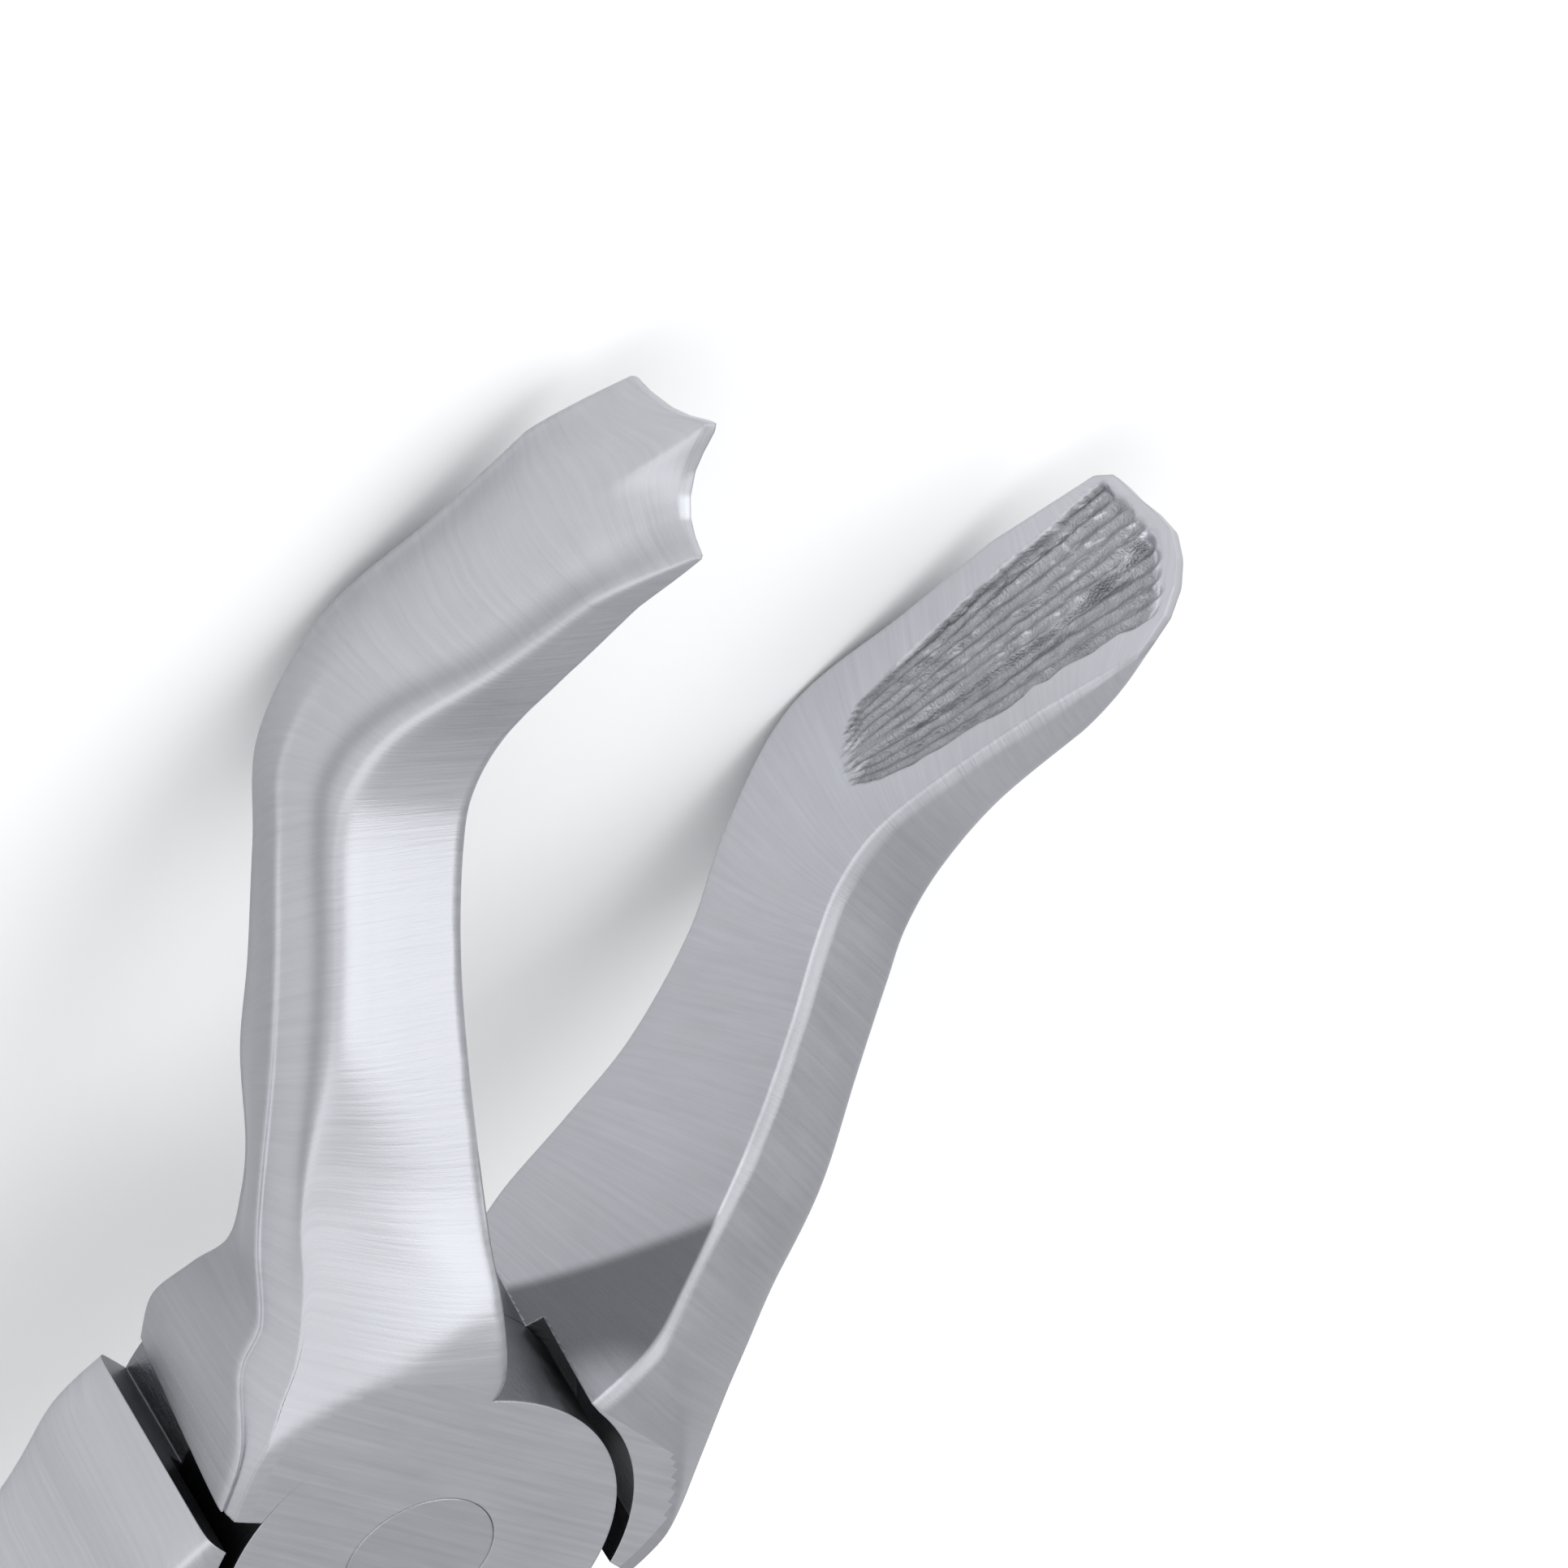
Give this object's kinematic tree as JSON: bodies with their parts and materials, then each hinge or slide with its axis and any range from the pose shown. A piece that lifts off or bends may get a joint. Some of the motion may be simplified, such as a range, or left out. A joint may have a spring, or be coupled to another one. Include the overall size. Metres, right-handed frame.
{
  "type": "dental extraction forceps",
  "caption": "Upper-molar extraction forceps: two steel halves crossing in a riveted lap joint, one beak pointed and one rounded, with long curved handles.",
  "frame": {"origin": "middle of the bounding box at its underside, with the forceps lying on z = 0 on its beaks and handle ends", "axes": "+Y from the handles to the beak tips, +X towards the round-tipped beak, +Z out of the joint face on the front half, along the pivot"},
  "size_m": [0.0784, 0.1636, 0.0198],
  "materials": {
    "satin_steel": "satin ground stainless steel with fine brush lines",
    "rivet_steel": "ground flush with the joint face"
  },
  "bodies": {
    "rear_side": {"rear_half": "satin_steel", "pivot_rivet": "rivet_steel"},
    "front_side": {"front_half": "satin_steel"}
  },
  "joints": [
    {"name": "pivot", "type": "hinge", "parent": "rear_side", "child": "front_side", "pos_m": [0, 0.04165, 0.01492], "axis": [0, 0, 1], "range_deg": [-26, 6]}
  ]
}
